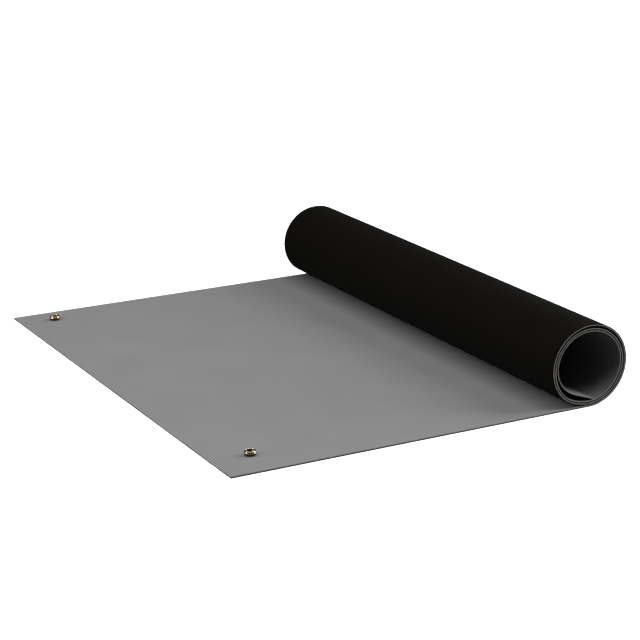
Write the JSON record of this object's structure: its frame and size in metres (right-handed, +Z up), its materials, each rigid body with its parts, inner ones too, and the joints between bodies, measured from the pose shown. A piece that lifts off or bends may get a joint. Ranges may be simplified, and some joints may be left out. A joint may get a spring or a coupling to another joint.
{
  "type": "anti static bench mat",
  "caption": "Anti static rubber bench mat, grey on top and black below, part laid flat and the rest rolled up, with brass press studs for earth leads near the flat edge.",
  "frame": {"origin": "under the middle of the object's box, on the surface that the mat lies on", "axes": "+X along the sheet from its flat edge with the studs towards the roll, +Y across the sheet's width, along the roll, +Z up"},
  "size_m": [0.4588, 0.6, 0.0898],
  "materials": {
    "top_rubber": "matt, faintly grained, neutral grey",
    "back_rubber": "matt black",
    "stud_brass": "brass with a dark patina low down, worn bright on the lip",
    "rivet_brass": "brass with a dark patina low down, worn bright on the lip"
  },
  "bodies": {
    "root": {"back_layer": "back_rubber", "top_layer": "top_rubber", "stud_near": "stud_brass", "stud_far": "stud_brass", "rivet_near": "rivet_brass", "rivet_far": "rivet_brass"}
  },
  "joints": []
}
